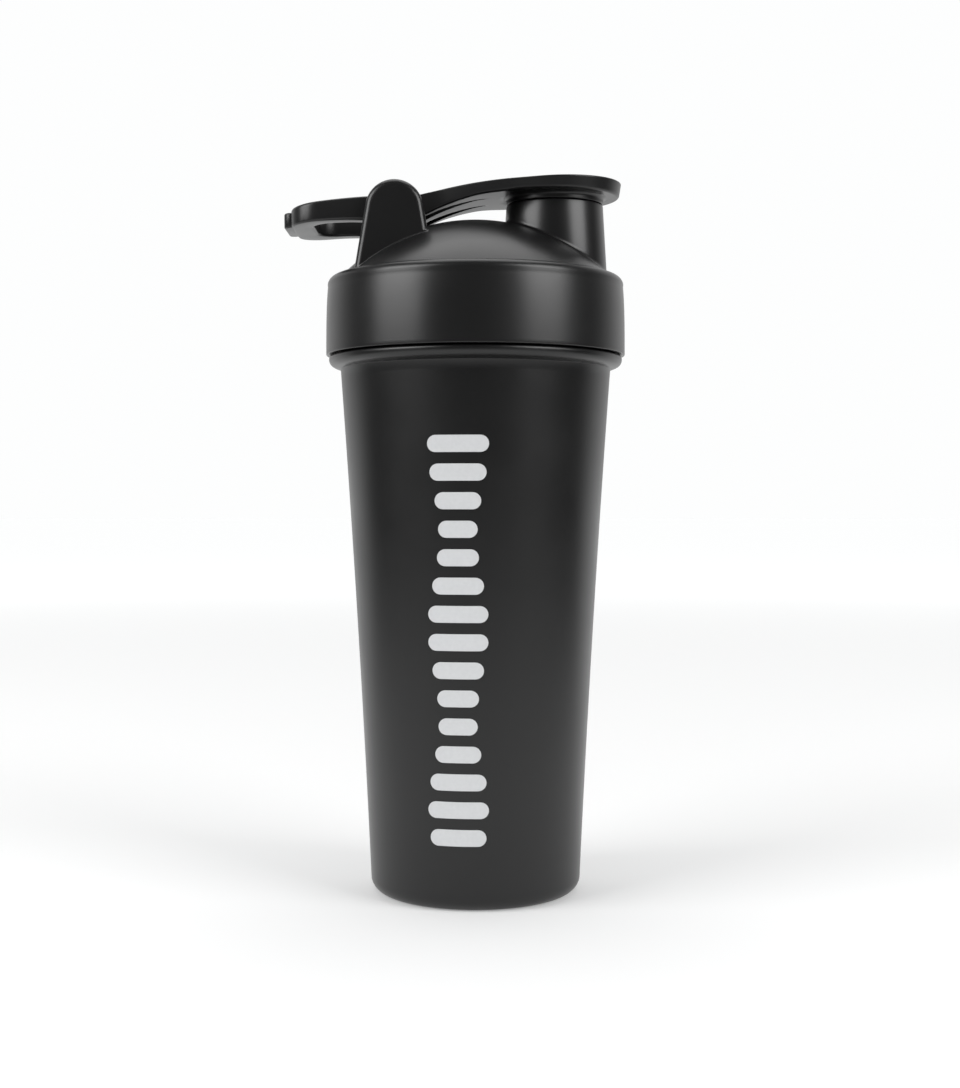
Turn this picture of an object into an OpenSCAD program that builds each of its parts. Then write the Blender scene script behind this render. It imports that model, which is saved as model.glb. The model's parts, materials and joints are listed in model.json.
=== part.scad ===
// Screw-top shaker cup with a hinged spout cap, a swinging carry loop and a loose wire mixing ball.
// The origin is the centre of the cup's base, +Z is up and the spout is on the +X side. Millimetres.

/* [Cup] */
// Height of the cup from its base to its rim
cup_height = 194.3; // [180:0.1:215]
// Outer radius of the cup at its base
base_r = 33.8; // [32:0.1:36]
// Outer radius of the cup's neck, just above the shoulder
neck_r = 43.6; // [43.2:0.1:44]
// Thickness of the cup's wall
cup_wall = 2; // [1.6:0.1:2.2]
// Thickness of the cup's floor
floor_t = 3.4; // [2.6:0.1:4]
// Radius of the rounded corner between the wall and the base
base_corner_r = 4.8; // [4:0.1:6.5]
// Share of the wall's flare that comes late, near the shoulder
late_flare = 0.23; // [0:0.01:0.4]

/* [Screw thread] */
// Rise of the thread in one turn
thread_pitch = 5; // [4.6:0.1:5.4]
// Number of arcs, four to a turn, that make up the thread
thread_arcs = 5; // [4:1:6]
// Height of the thread above its wall
thread_h = 1.4; // [1:0.1:1.5]

/* [Lid] */
// Thickness of the lid's ring
ring_wall = 2.75; // [2.4:0.05:3]
// Depth that the ring covers, down from the cup's rim
ring_cover = 21; // [20:0.5:24]
// Height of the dome above its foot
dome_rise = 19.1; // [18:0.1:19.6]
// Thickness of the dome
dome_wall = 2.2; // [1.8:0.1:2.6]

/* [Spout] */
// Distance of the spout's centre from the cup's axis
spout_x = 25.6; // [25:0.1:26]
// Outer radius at the top of the spout
spout_r = 15.6; // [15.2:0.1:15.8]
// Height of the spout's shoulder above the cup's rim
spout_rise = 27.3; // [26.7:0.1:28.2]

/* [Hinge] */
// Distance of the hinge axis behind the cup's axis
hinge_x = 25.2; // [24.8:0.1:25.6]
// Height of the hinge axis above the cup's rim
hinge_rise = 23; // [22.7:0.1:23.3]
// Radius of the hinge's two stub pins
stub_r = 2.8; // [2.4:0.1:3]
// Radial clearance of the stub pins in their bores
stub_gap = 0.07; // [0.03:0.01:0.1]
// Thickness of each ear
ear_t = 4.3; // [3.8:0.1:4.5]

/* [Flip cap] */
// Radius of the round flange over the spout
flange_r = 21.4; // [20.5:0.1:22]
// Thickness of the flange
flange_t = 2.4; // [2:0.1:2.8]
// Rise of the flange's top towards its tip
flange_lift = 1.3; // [0.5:0.1:1.6]
// Half of the arm's width at the hinge
arm_half_w = 12.3; // [11.5:0.1:12.5]

/* [Carry loop] */
// Length of the loop from the hinge axis to the outside of its end
loop_length = 33.3; // [32.5:0.1:36]
// Half of the loop's outer width
loop_half_w = 18.7; // [18.6:0.1:19.2]
// Width of the loop's band, seen from above
loop_band = 6; // [5.5:0.1:6]

/* [Mixing ball] */
// Radius of the ball to the middle of its wire
ball_r = 27; // [22:0.5:28]
// Thickness of the wire
ball_wire = 2; // [1.8:0.1:2.4]
// Turns of wire from pole to pole
ball_turns = 8; // [6:1:9]

/* [Hidden] */

$fn = 96;
plastic = [0.07, 0.07, 0.075];
silicone = [0.16, 0.16, 0.17];
steel = [0.75, 0.76, 0.78];

// Heights
rim_z = cup_height;
ring_z = rim_z - ring_cover;
crease_z = ring_z - 4.6;
ceiling_z = rim_z + 1.5;
seal_gap = 0.05;

// Shoulder bead and neck of the cup
bead_r = neck_r + 3.75;
bead_top_z = ring_z - 0.95;
bead_edge_r = 1.7;
neck_in_r = neck_r - cup_wall;

// Thread, cut as a trapezoid that is buried in its wall
thread_root_w = 2.4;
thread_crest_w = 1.2;
thread_bury = 0.8;
thread_arc = 75;
thread_z = ring_z + 5.6;

// Ring, plug skirt and dome of the lid
ring_in_r = neck_r + thread_h + 0.5;
ring_r = ring_in_r + ring_wall;
skirt_r = neck_in_r - 0.7;
skirt_in_r = skirt_r - dome_wall + 0.2;
skirt_drop = 5;
foot_r = ring_r - 4;
foot_z = rim_z + 3.3;
dome_r = (pow(foot_r, 2) + pow(dome_rise, 2)) / (2 * dome_rise);
dome_z = foot_z + dome_rise - dome_r;

// Spout: a tapered tube with a thinner neck that the cap closes over
step_z = rim_z + spout_rise;
spout_draft = 0.055;
spout_bore_r = spout_r - 2.6;
spout_neck_r = spout_r - 2.4;
spout_mouth_r = spout_r - 4;
spout_top_z = step_z + 3;

// Hinge
hinge_z = rim_z + hinge_rise;
side_gap = 0.4;
barrel_r = 5.2;
eye_r = 4.8;
ear_in_y = loop_half_w + side_gap;
ear_out_y = ear_in_y + ear_t;
ear_r = 9.1;
ear_splay = 3.3;
ear_low_z = foot_z - 0.5;
socket_depth = 2.9;
stub_y = ear_in_y + socket_depth - 0.2;

// Flip cap
flange_z = spout_top_z + 0.3;
cap_top_z = flange_z + flange_t;
tip_x = spout_x + flange_r;
tip_z = cap_top_z + flange_lift;
lip_z = flange_z - 0.8;
lip_edge_r = 1;
collar_z = step_z + 0.3;
collar_in_r = spout_neck_r + 0.7;
flare_r = 1.2;
boss_r = 6;

// Carry loop
loop_end_x = -hinge_x - loop_length;
loop_corner_r = 9;
loop_low_z = hinge_z - 4.2;
tab_half_w = 11;
tab_out = 2.6;
tab_t = 4.9;

// Mixing ball
ball_z = floor_t + ball_r + ball_wire / 2 + 0.1;
ball_pole = 13;
ball_step = 12;

// Point of a cubic curve through p[0] and p[3], pulled towards p[1] and p[2]
function bezier(p, t) =
    pow(1 - t, 3) * p[0] + 3 * pow(1 - t, 2) * t * p[1] + 3 * (1 - t) * pow(t, 2) * p[2] + pow(t, 3) * p[3];

function curve(p, n = 10) = [for (i = [0:n]) bezier(p, i / n)];

// Points of an arc about c, from angle a to angle b
function arc(c, r, a, b, n = 8) =
    [for (i = [0:n]) let (t = a + (b - a) * i / n) [c[0] + r * cos(t), c[1] + r * sin(t)]];

// Outer radius of the cup's wall at height z
function wall_r(z) =
    let (t = z / crease_z) base_r + (neck_r - base_r) * ((1 - late_flare) * t + late_flare * t * t);

// Draws children, a shape in the X-Z plane, as a slab from y = a to y = b
module slab_y(a, b) {
    translate([0, b, 0]) rotate([90, 0, 0]) linear_extrude(b - a) children();
}

module at_hinge() {
    translate([-hinge_x, 0, hinge_z]) rotate([90, 0, 0]) children();
}

// Interrupted thread on the wall of radius r: arcs tilted to the helix angle, a quarter turn apart.
// side is 1 for a thread that stands outwards and -1 for one that stands inwards.
module thread(r, side, z) {
    root = r - side * thread_bury;
    crest = r + side * thread_h;
    for (i = [0:thread_arcs - 1])
        translate([0, 0, z + thread_pitch * (i + 0.5) / 4])
            rotate([0, 0, 90 * (i + 0.5)])
                rotate([atan(thread_pitch / (2 * PI * r)), 0, 0])
                    rotate([0, 0, -thread_arc / 2])
                        rotate_extrude(angle = thread_arc) polygon([
                            [root, -thread_root_w / 2], [crest, -thread_crest_w / 2],
                            [crest, thread_crest_w / 2], [root, thread_root_w / 2]
                        ]);
}

// Half section of the cup, from the middle of its base round to the middle of its floor
module cup_section() {
    steps = 16;
    low = base_corner_r;
    outside = [for (i = [1:steps]) let (z = low + (crease_z - low) * i / steps) [wall_r(z), z]];
    inside = [for (i = [steps:-1:1]) let (z = low + floor_t + (crease_z - low - floor_t) * i / steps)
        [wall_r(z) - cup_wall, z]];
    base_arc = arc([wall_r(low) - low, low], low, -90, 0);
    floor_arc = arc([wall_r(low) - cup_wall - low, low + floor_t], low, 0, -90);
    bead = curve([[neck_r + 0.1, crease_z + 0.2], [neck_r + 1.8, crease_z + 0.7], [bead_r, crease_z + 1.1],
        [bead_r, bead_top_z - bead_edge_r]]);
    bead_edge = arc([bead_r - bead_edge_r, bead_top_z - bead_edge_r], bead_edge_r, 10, 90);
    polygon(concat(
        [[0, 0]], base_arc, outside, bead, bead_edge,
        [[neck_r, bead_top_z], [neck_r, rim_z - 0.6], [neck_r - 0.6, rim_z], [neck_in_r + 0.4, rim_z],
            [neck_in_r, rim_z - 0.4]],
        inside, floor_arc, [[0, floor_t]]
    ));
}

module cup() {
    color(plastic) {
        rotate_extrude() cup_section();
        thread(neck_r, 1, thread_z);
    }
}

// Half section of the lid's ring, its ceiling over the rim and the plug skirt inside the neck
module ring_section() {
    polygon(concat(
        [[ring_in_r + 0.5, ring_z], [ring_r - 0.25, ring_z], [ring_r, ring_z + 0.3], [ring_r - 0.05, rim_z - 8]],
        [[ring_r - 0.5, rim_z]],
        arc([ring_r - 3.3, rim_z + 1.3], 2.8, 0, 90),
        [[foot_r, foot_z], [skirt_in_r, foot_z + 2], [skirt_in_r, rim_z - skirt_drop],
            [skirt_r - 0.6, rim_z - skirt_drop], [skirt_r, rim_z - skirt_drop + 0.8],
            [skirt_r, ceiling_z], [ring_in_r, ceiling_z], [ring_in_r, ring_z + 0.5]]
    ));
}

module ear_section() {
    left_x = -hinge_x - ear_r;
    right_x = -hinge_x + ear_r;
    polygon(concat(
        arc([-hinge_x, hinge_z], ear_r, 8, 172, 16),
        [[left_x - ear_splay, ear_low_z], [right_x + ear_splay, ear_low_z]]
    ));
}

// Half section of the spout, outside only
module spout_section() {
    low_z = rim_z + 4;
    polygon([
        [0, low_z], [spout_r + spout_draft * (step_z - low_z), low_z], [spout_r, step_z - 0.3],
        [spout_r - 0.3, step_z], [spout_neck_r, step_z], [spout_neck_r - 0.2, spout_top_z - 0.4],
        [spout_neck_r - 0.6, spout_top_z], [0, spout_top_z]
    ]);
}

module lid_outside() {
    rotate_extrude() ring_section();
    intersection() {
        translate([0, 0, dome_z]) sphere(dome_r);
        translate([0, 0, ceiling_z]) cylinder(h = dome_rise + 5, r = foot_r);
    }
    translate([spout_x, 0, 0]) rotate_extrude() spout_section();
    for (side = [-1, 1])
        slab_y(side > 0 ? ear_in_y : -ear_out_y, side > 0 ? ear_out_y : -ear_in_y) ear_section();
}

module lid_inside() {
    intersection() {
        translate([0, 0, dome_z]) sphere(dome_r - dome_wall);
        translate([0, 0, rim_z - skirt_drop - 1]) cylinder(h = dome_rise + 12, r = skirt_in_r);
    }
    translate([spout_x, 0, rim_z + 2]) cylinder(h = spout_rise - 4.5, r = spout_bore_r);
    translate([spout_x, 0, rim_z + 3]) cylinder(h = spout_rise + 5, r = spout_mouth_r);
    at_hinge() cylinder(h = 2 * (ear_in_y + socket_depth), r = stub_r + stub_gap, center = true);
}

module lid() {
    color(plastic) {
        difference() {
            lid_outside();
            lid_inside();
        }
        thread(ring_in_r, -1, thread_z - thread_pitch / 2);
    }
}

module lid_gasket() {
    color(silicone) rotate_extrude() polygon([
        [skirt_r + 0.3, rim_z + seal_gap], [ring_in_r - 0.3, rim_z + seal_gap],
        [ring_in_r - 0.3, ceiling_z - 0.4], [ring_in_r - 0.7, ceiling_z - seal_gap],
        [skirt_r + 0.7, ceiling_z - seal_gap], [skirt_r + 0.3, ceiling_z - 0.4]
    ]);
}

arm_top = curve([[-hinge_x + 2, hinge_z + 4.8], [-hinge_x + 11, hinge_z + 6.9],
    [-hinge_x + 21, cap_top_z - 0.4], [-hinge_x + 37, cap_top_z + 0.2]]);
arm_under = curve([[-hinge_x + 39, flange_z], [-hinge_x + 21, hinge_z + 5.7],
    [-hinge_x + 11, hinge_z + 1.4], [-hinge_x + 3.7, hinge_z - 3.6]]);

// Side view of the arm and the flange
module arm_side() {
    polygon(concat(
        arm_top,
        [[tip_x, tip_z], [tip_x, flange_z]],
        arm_under,
        [[-hinge_x, hinge_z - 3]]
    ));
}

// Plan view of the arm and the flange
module arm_plan() {
    translate([-hinge_x, -arm_half_w]) square([13.2, 2 * arm_half_w]);
    hull() {
        translate([-hinge_x + 13, -arm_half_w]) square([0.2, 2 * arm_half_w]);
        translate([spout_x, 0]) circle(flange_r);
    }
}

// Groove in the arm's underside that narrows towards the flange
module arm_groove() {
    intersection() {
        linear_extrude(cap_top_z) polygon([[-hinge_x + 7, 2.2], [-hinge_x + 29, 6], [-hinge_x + 7, 10]]);
        slab_y(0, arm_half_w) polygon(concat([for (p = arm_under) p + [0, 2]], [for (i = [10:-1:0])
            arm_under[i] - [0, 4]]));
    }
}

// Half section of the collar that closes over the spout's neck, flaring into the lip under the flange
module collar_section() {
    lip_r = flange_r - 0.05;
    polygon(concat(
        [[collar_in_r, collar_z], [spout_r - 0.2, collar_z], [spout_r, collar_z + 0.2]],
        arc([spout_r + flare_r, lip_z - flare_r], flare_r, 180, 90, 6),
        arc([lip_r - lip_edge_r, lip_z + lip_edge_r], lip_edge_r, -90, 0, 4),
        [[lip_r, flange_z + 0.8], [collar_in_r, flange_z + 0.8]]
    ));
}

// Half section of the boss under the flange that carries the spout seal
module boss_section() {
    polygon([
        [0, step_z + 0.8], [boss_r + 0.8, step_z + 0.8], [boss_r + 0.8, step_z + 1.3], [boss_r, step_z + 1.6],
        [boss_r, flange_z + 0.4], [0, flange_z + 0.4]
    ]);
}

module flip_cap() {
    color(plastic) {
        difference() {
            intersection() {
                slab_y(-flange_r - 1, flange_r + 1) arm_side();
                linear_extrude(tip_z + 1) arm_plan();
            }
            arm_groove();
            mirror([0, 1, 0]) arm_groove();
        }
        at_hinge() cylinder(h = 2 * arm_half_w, r = barrel_r, center = true);
        at_hinge() cylinder(h = 2 * stub_y, r = stub_r, center = true);
        translate([spout_x, 0, 0]) rotate_extrude() collar_section();
        translate([spout_x, 0, 0]) rotate_extrude() boss_section();
    }
}

module spout_seal() {
    seal_r = spout_mouth_r - 0.5;
    color(silicone) translate([spout_x, 0, 0]) rotate_extrude() polygon([
        [boss_r + 0.8, step_z + 0.8], [seal_r - 1, step_z + 0.8], [seal_r - 0.2, step_z + 1.4],
        [seal_r, step_z + 2.6], [seal_r, flange_z], [boss_r, flange_z], [boss_r, step_z + 1.6],
        [boss_r + 0.8, step_z + 1.3]
    ]);
}

// Side view of the loop, with a round eye at the hinge
module loop_side() {
    top = curve([[loop_end_x, hinge_z + 1], [loop_end_x + 9, hinge_z + 3],
        [-hinge_x - 13, hinge_z + eye_r - 0.1], [-hinge_x, hinge_z + eye_r]]);
    under = curve([[-hinge_x, hinge_z - eye_r], [-hinge_x - 8, hinge_z - eye_r + 3],
        [loop_end_x + 12, hinge_z - 3], [loop_end_x, loop_low_z]]);
    polygon(concat(top, arc([-hinge_x, hinge_z], eye_r, 82.5, -82.5, 22), under));
}

// A path round three sides of a rectangle, from its open side at x = b, with two round corners at x = a
function fork_path(a, b, half_w, r) = concat(
    [[b, -half_w]], arc([a + r, r - half_w], r, 270, 180), arc([a + r, half_w - r], r, 180, 90), [[b, half_w]]
);

// Plan view of the loop: a fork that is open at the hinge
module loop_plan() {
    open_x = -hinge_x + eye_r + 1;
    outside = fork_path(loop_end_x, open_x, loop_half_w, loop_corner_r);
    inside = fork_path(loop_end_x + loop_band + 1, open_x, loop_half_w - loop_band, loop_corner_r - 2.5);
    polygon(concat(outside, [for (i = [len(inside) - 1:-1:0]) inside[i]]));
}

module carry_loop() {
    color(plastic) difference() {
        union() {
            intersection() {
                slab_y(-loop_half_w - 1, loop_half_w + 1) loop_side();
                linear_extrude(cap_top_z) loop_plan();
            }
            translate([loop_end_x - tab_out, -tab_half_w, loop_low_z]) cube([tab_out + 2, 2 * tab_half_w, tab_t]);
        }
        at_hinge() cylinder(h = 3 * loop_half_w, r = stub_r + stub_gap, center = true);
    }
}

// Point of the ball's wire at share t of its length, on a sphere about the origin
function ball_point(t) =
    let (polar = ball_pole + (180 - 2 * ball_pole) * t, turn = 360 * ball_turns * t)
    [sin(polar) * cos(turn), sin(polar) * sin(turn), -cos(polar)];

// Ring of wire points about p, in the plane across direction d
function wire_ring(p, d, sides = 8) =
    let (across = cross(d, p), out = p)
    [for (k = [0:sides - 1]) let (a = 360 * k / sides)
        ball_r * p + ball_wire / 2 * (cos(a) * out + sin(a) * across / norm(across))];

module mixing_ball() {
    n = 360 * ball_turns / ball_step;
    sides = 8;
    rings = [for (i = [0:n]) let (
        p = ball_point(i / n),
        d = ball_point(min(1, (i + 0.5) / n)) - ball_point(max(0, (i - 0.5) / n))
    ) wire_ring(p, d / norm(d), sides)];
    points = [for (ring = rings) each ring];
    skin = [for (i = [0:n - 1]) for (k = [0:sides - 1]) let (j = (k + 1) % sides, a = sides * i, b = a + sides)
        each [[a + k, a + j, b + j], [a + k, b + j, b + k]]];
    start = [for (k = [sides - 1:-1:0]) k];
    end = [for (k = [0:sides - 1]) sides * n + k];
    color(steel) translate([0, 0, ball_z]) polyhedron(points, concat(skin, [start], [end]), convexity = 10);
}

cup();
lid();
lid_gasket();
flip_cap();
spout_seal();
carry_loop();
mixing_ball();
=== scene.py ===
import json
import math

import bmesh
import bpy
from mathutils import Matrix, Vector

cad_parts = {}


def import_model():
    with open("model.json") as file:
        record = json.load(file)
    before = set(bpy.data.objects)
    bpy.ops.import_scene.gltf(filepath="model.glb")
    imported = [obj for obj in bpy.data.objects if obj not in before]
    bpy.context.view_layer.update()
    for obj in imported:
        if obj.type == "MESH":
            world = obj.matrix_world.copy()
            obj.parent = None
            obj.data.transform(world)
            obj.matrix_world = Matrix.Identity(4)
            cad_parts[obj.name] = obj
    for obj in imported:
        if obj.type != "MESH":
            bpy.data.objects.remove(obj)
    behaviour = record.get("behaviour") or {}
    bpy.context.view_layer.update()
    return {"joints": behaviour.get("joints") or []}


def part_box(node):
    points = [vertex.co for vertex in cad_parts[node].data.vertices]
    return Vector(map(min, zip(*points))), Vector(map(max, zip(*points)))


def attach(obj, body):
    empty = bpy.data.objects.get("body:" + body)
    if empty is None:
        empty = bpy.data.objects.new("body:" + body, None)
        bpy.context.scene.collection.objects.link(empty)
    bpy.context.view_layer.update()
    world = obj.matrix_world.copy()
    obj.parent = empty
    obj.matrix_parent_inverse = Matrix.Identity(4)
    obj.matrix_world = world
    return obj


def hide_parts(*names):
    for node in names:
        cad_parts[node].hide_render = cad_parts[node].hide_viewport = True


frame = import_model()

MM = 0.001


# ---------------------------------------------------------------- sizes, in millimetres, from the frame

def joint(name):
    """The frame's record of a joint."""
    return next(j for j in frame["joints"] if j["name"] == name)


# cup
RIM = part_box("cup")[1].z / MM
BEAD_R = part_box("cup")[1].x / MM
NECK_R = BEAD_R - 3.75
BASE_R = 33.8
WALL = 2.0
FLOOR = 3.4
BASE_CORNER = 4.8
BASE_RECESS = 0.9
LATE_FLARE = 0.23
NECK_IN = NECK_R - WALL

# lid, with the bead and crease of the cup just under it
RING_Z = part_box("lid")[0].z / MM
RING_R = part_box("lid")[1].y / MM
RING_IN = RING_R - 2.75
CREASE_Z = RING_Z - 4.6
BEAD_TOP = RING_Z - 0.3
BEAD_EDGE = 1.0
SHOULDER_R = 2.8
CEILING = RIM + 1.5
SKIRT_R = NECK_IN - 0.7
SKIRT_IN = SKIRT_R - 2.0
SKIRT_LOW = RIM - 5
FOOT_R = RING_R - 4
FOOT_Z = RIM + 3.3
DOME_RISE = 19.1
DOME_WALL = 2.2
DOME_R = (FOOT_R ** 2 + DOME_RISE ** 2) / (2 * DOME_RISE)
DOME_Z = FOOT_Z + DOME_RISE - DOME_R

# screw thread
PITCH = 5.0
THREAD_H = 1.4
THREAD_Z = RING_Z + 5.6
THREAD_ARCS = 5
THREAD_ARC = 75.0

# spout and what closes on it
TIP_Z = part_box("flip_cap")[1].z / MM
CAP_TOP = TIP_Z - 1.3
FLANGE_Z = CAP_TOP - 2.4
FLANGE_R = 21.4
SPOUT_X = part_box("flip_cap")[1].x / MM - FLANGE_R
SPOUT_R = 15.6
STEP_Z = RIM + 27.3
SPOUT_TOP = STEP_Z + 3
SPOUT_DRAFT = 0.055
BORE_R = SPOUT_R - 2.6
SPOUT_NECK = SPOUT_R - 2.4
MOUTH_R = SPOUT_R - 4
COLLAR_Z = STEP_Z + 0.3
COLLAR_IN = SPOUT_NECK + 0.7
BOSS_R = 6.8
BOSS_NECK = 6.0
BOSS_LOW = STEP_Z + 0.8

# hinge, ears, arm and loop
HINGE_X = joint("cap_flip")["pos_m"][0] / MM
HINGE_Z = joint("cap_flip")["pos_m"][2] / MM
STUB_R = 2.8
BORE_GAP = 0.07
BARREL_R = 5.2
EYE_R = 4.8
EAR_R = 9.1
EAR_SPLAY = 3.3 / 19.5
EAR_SPLAY_Z = HINGE_Z + 1.2
EAR_EDGE_OUT = 2.0
EAR_EDGE_IN = 0.5
SOCKET_DEPTH = 2.9
EAR_LOW = RIM + 2.6
LOOP_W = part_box("carry_loop")[1].y / MM
LOOP_BAND = 6.0
LOOP_LOW = HINGE_Z - 4.2
LOOP_END = HINGE_X - 33.3
TAB_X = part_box("carry_loop")[0].x / MM
EAR_IN = LOOP_W + 0.4
EAR_OUT = EAR_IN + 4.3
STUB_Y = EAR_IN + 2.7
ARM_W = 12.3

# meshes
SEGMENTS = 192
SEAL_SEGMENTS = 128
FEW_SEGMENTS = 96
SHARP_ANGLE = 32.0


# ---------------------------------------------------------------- curves

def bezier(p0, p1, p2, p3, steps):
    """Points of a cubic curve from p0 to p3."""
    out = []
    for i in range(steps + 1):
        t = i / steps
        k = ((1 - t) ** 3, 3 * (1 - t) ** 2 * t, 3 * (1 - t) * t * t, t ** 3)
        out.append(tuple(sum(w * p[a] for w, p in zip(k, (p0, p1, p2, p3))) for a in range(len(p0))))
    return out


def arc(centre, radius, a, b, steps):
    """Points of an arc about centre from a to b degrees."""
    out = []
    for i in range(steps + 1):
        t = math.radians(a + (b - a) * i / steps)
        out.append((centre[0] + radius * math.cos(t), centre[1] + radius * math.sin(t)))
    return out


def rounded(corners, steps=5):
    """A closed outline from corners (a, b, radius), each corner turned into an arc."""
    out = []
    for i, (a, b, r) in enumerate(corners):
        p = Vector((a, b))
        if r <= 0:
            out.append((a, b))
            continue
        back = (Vector(corners[i - 1][:2]) - p).normalized()
        ahead = (Vector(corners[(i + 1) % len(corners)][:2]) - p).normalized()
        half = back.angle(ahead) / 2
        start, end = p + back * r / math.tan(half), p + ahead * r / math.tan(half)
        centre = p + (back + ahead).normalized() * r / math.sin(half)
        a0 = math.atan2(*(start - centre).yx)
        turn = (math.atan2(*(end - centre).yx) - a0 + math.pi) % (2 * math.pi) - math.pi
        for k in range(steps + 1):
            t = a0 + turn * k / steps
            out.append((centre.x + r * math.cos(t), centre.y + r * math.sin(t)))
    return out


def lookup(points, x):
    """Height of a polyline (sorted by x) at x."""
    if x <= points[0][0]:
        return points[0][1]
    for p, q in zip(points, points[1:]):
        if x <= q[0]:
            t = (x - p[0]) / max(q[0] - p[0], 1e-9)
            return p[1] + (q[1] - p[1]) * t
    return points[-1][1]


def smooth(a, b, x):
    """Eases from 0 at a to 1 at b."""
    t = min(1.0, max(0.0, (x - a) / (b - a)))
    return t * t * (3 - 2 * t)


def wall_r(z):
    """Outer radius of the cup at height z."""
    t = z / CREASE_Z
    return BASE_R + (NECK_R - BASE_R) * ((1 - LATE_FLARE) * t + LATE_FLARE * t * t)


def dome_z(x, y, drop=0.0):
    """Height of the lid's dome over a point; drop is 0 outside and the wall inside."""
    return DOME_Z + math.sqrt(max((DOME_R - drop) ** 2 - x * x - y * y, 0.0))


def lid_top_z(x, y, beyond=FOOT_Z):
    """Height of the dome over a point, or the given height beyond the dome's foot."""
    return dome_z(x, y) if math.hypot(x, y) < FOOT_R - 0.3 else beyond


# ---------------------------------------------------------------- meshes, as (vertices, faces)

def revolve(profile, segments=SEGMENTS, centre_x=0.0):
    """A closed outline of (radius, height) turned about a vertical axis at centre_x."""
    verts, faces, rows = [], [], []
    for r, z in profile:
        if r < 1e-6:
            rows.append([len(verts)] * segments)
            verts.append((centre_x, 0.0, z))
            continue
        rows.append(list(range(len(verts), len(verts) + segments)))
        for k in range(segments):
            t = 2 * math.pi * k / segments
            verts.append((centre_x + r * math.cos(t), r * math.sin(t), z))
    for a, b in zip(rows, rows[1:] + rows[:1]):
        for k in range(segments):
            m = (k + 1) % segments
            face = tuple(dict.fromkeys((a[k], a[m], b[m], b[k])))
            if len(face) > 2:
                faces.append(face)
    return verts, faces


def lathe_y(profile):
    """A closed outline of (radius, distance along Y) turned about the hinge axis."""
    verts, faces = revolve(profile, FEW_SEGMENTS)
    return [(HINGE_X + x, z, HINGE_Z + y) for x, y, z in verts], faces


def pin(radius, half_length):
    """A plain cylinder on the hinge axis."""
    return lathe_y([(0.0, -half_length), (radius, -half_length), (radius, half_length), (0.0, half_length)])


def join(*parts):
    """Several parts as one."""
    verts, faces = [], []
    for v, f in parts:
        base = len(verts)
        verts += v
        faces += [tuple(i + base for i in face) for face in f]
    return verts, faces


def tube(rings, loop=False):
    """Quads between rings of equal length; the ends are closed, or meet in a loop."""
    n = len(rings[0])
    verts = [p for ring in rings for p in ring]
    faces = []
    last = len(rings) if loop else len(rings) - 1
    for i in range(last):
        a, b = i * n, ((i + 1) % len(rings)) * n
        for k in range(n):
            m = (k + 1) % n
            faces.append((a + k, a + m, b + m, b + k))
    if not loop:
        faces.append(tuple(range(n - 1, -1, -1)))
        faces.append(tuple((len(rings) - 1) * n + k for k in range(n)))
    return verts, faces


def mirrored(part):
    """The same part on the other side of the X-Z plane."""
    verts, faces = part
    return [(x, -y, z) for x, y, z in verts], [tuple(reversed(f)) for f in faces]


def place(name, data):
    """An object in the scene from a mesh, a light or a camera."""
    thing = bpy.data.objects.new(name, data)
    bpy.context.scene.collection.objects.link(thing)
    return thing


def mesh_from(name, part):
    """A Blender mesh from a part in millimetres, welded, with its faces turned outward."""
    verts, faces = part
    mesh = bpy.data.meshes.new(name)
    mesh.from_pydata([tuple(c * MM for c in v) for v in verts], [], faces)
    bm = bmesh.new()
    bm.from_mesh(mesh)
    bmesh.ops.remove_doubles(bm, verts=bm.verts, dist=2e-6)
    bmesh.ops.dissolve_degenerate(bm, dist=1e-7, edges=bm.edges)
    bmesh.ops.recalc_face_normals(bm, faces=bm.faces)
    bm.to_mesh(mesh)
    bm.free()
    return mesh


def make(name, part, body, material, stands_for=()):
    """A piece from a part, riding on a body and material."""
    mesh = mesh_from(name, part)
    piece = place(name, mesh)
    mesh.materials.append(material)
    mesh.shade_smooth()
    mesh.set_sharp_from_angle(angle=math.radians(SHARP_ANGLE))
    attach(piece, body)
    if stands_for:
        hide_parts(*stands_for)
    return piece


def cut(piece, part):
    """Takes a closed part away from a piece."""
    mesh = mesh_from("cutter", part)
    cutter = place("cutter", mesh)
    mod = piece.modifiers.new("cut", "BOOLEAN")
    mod.operation = "DIFFERENCE"
    mod.solver = "EXACT"
    mod.object = cutter
    graph = bpy.context.evaluated_depsgraph_get()
    done = bpy.data.meshes.new_from_object(piece.evaluated_get(graph), depsgraph=graph)
    piece.modifiers.clear()
    old = piece.data
    piece.data = done
    bpy.data.objects.remove(cutter)
    for spare in (old, mesh):
        bpy.data.meshes.remove(spare)


# ---------------------------------------------------------------- materials

def new_material(name):
    """A material with its nodes, links and shader."""
    material = bpy.data.materials.new(name)
    material.use_nodes = True
    tree = material.node_tree
    return material, tree.nodes, tree.links, tree.nodes["Principled BSDF"]


def noise(nodes, links, scale, detail=3.0, stretch=None):
    """Noise over object space; returns its factor."""
    where = nodes.new("ShaderNodeTexCoord")
    texture = nodes.new("ShaderNodeTexNoise")
    texture.inputs["Scale"].default_value = scale
    texture.inputs["Detail"].default_value = detail
    if stretch:
        mapping = nodes.new("ShaderNodeMapping")
        mapping.inputs["Scale"].default_value = stretch
        links.new(where.outputs["Object"], mapping.inputs["Vector"])
        links.new(mapping.outputs["Vector"], texture.inputs["Vector"])
    else:
        links.new(where.outputs["Object"], texture.inputs["Vector"])
    return texture.outputs["Fac"]


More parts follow.
